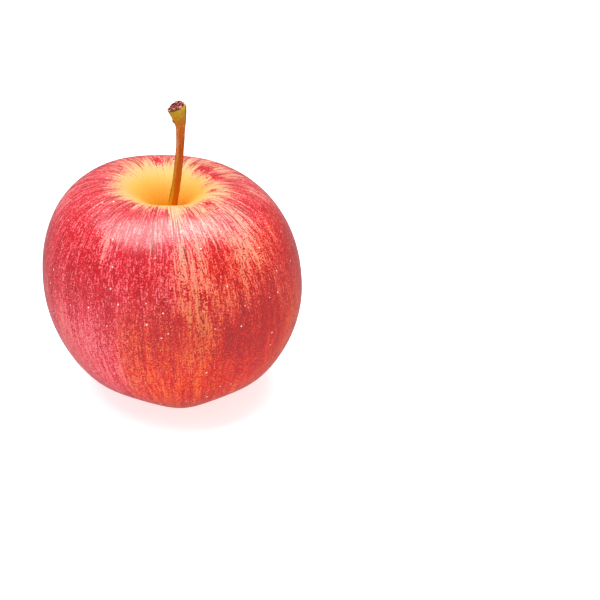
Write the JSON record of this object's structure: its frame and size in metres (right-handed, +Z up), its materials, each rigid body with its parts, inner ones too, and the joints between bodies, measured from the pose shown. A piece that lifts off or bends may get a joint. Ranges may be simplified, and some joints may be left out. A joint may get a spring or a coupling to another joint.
{
  "type": "apple",
  "caption": "Whole dessert apple standing on its lobed base, with a stem cavity, a long stem and the dried flower remains in the eye basin.",
  "frame": {"origin": "centre of the apple's bounding box at the height of the flats it stands on", "axes": "+Z up along the fruit and its stem, +X and +Y across the fruit; the crest leans slightly towards -X"},
  "size_m": [0.0746, 0.0746, 0.0881],
  "materials": {
    "skin": "waxy red skin streaked over a yellow ground",
    "stem_bark": "smooth olive to orange-brown bark",
    "dried_sepal": "dry and woolly",
    "dried_stamen": "dry and matt"
  },
  "bodies": {
    "root": {"fruit": "skin", "stem": "stem_bark", "sepal_1": "dried_sepal", "sepal_2": "dried_sepal", "sepal_3": "dried_sepal", "sepal_4": "dried_sepal", "sepal_5": "dried_sepal", "stamen_ring": "dried_stamen", "style_column": "dried_stamen"}
  },
  "joints": []
}
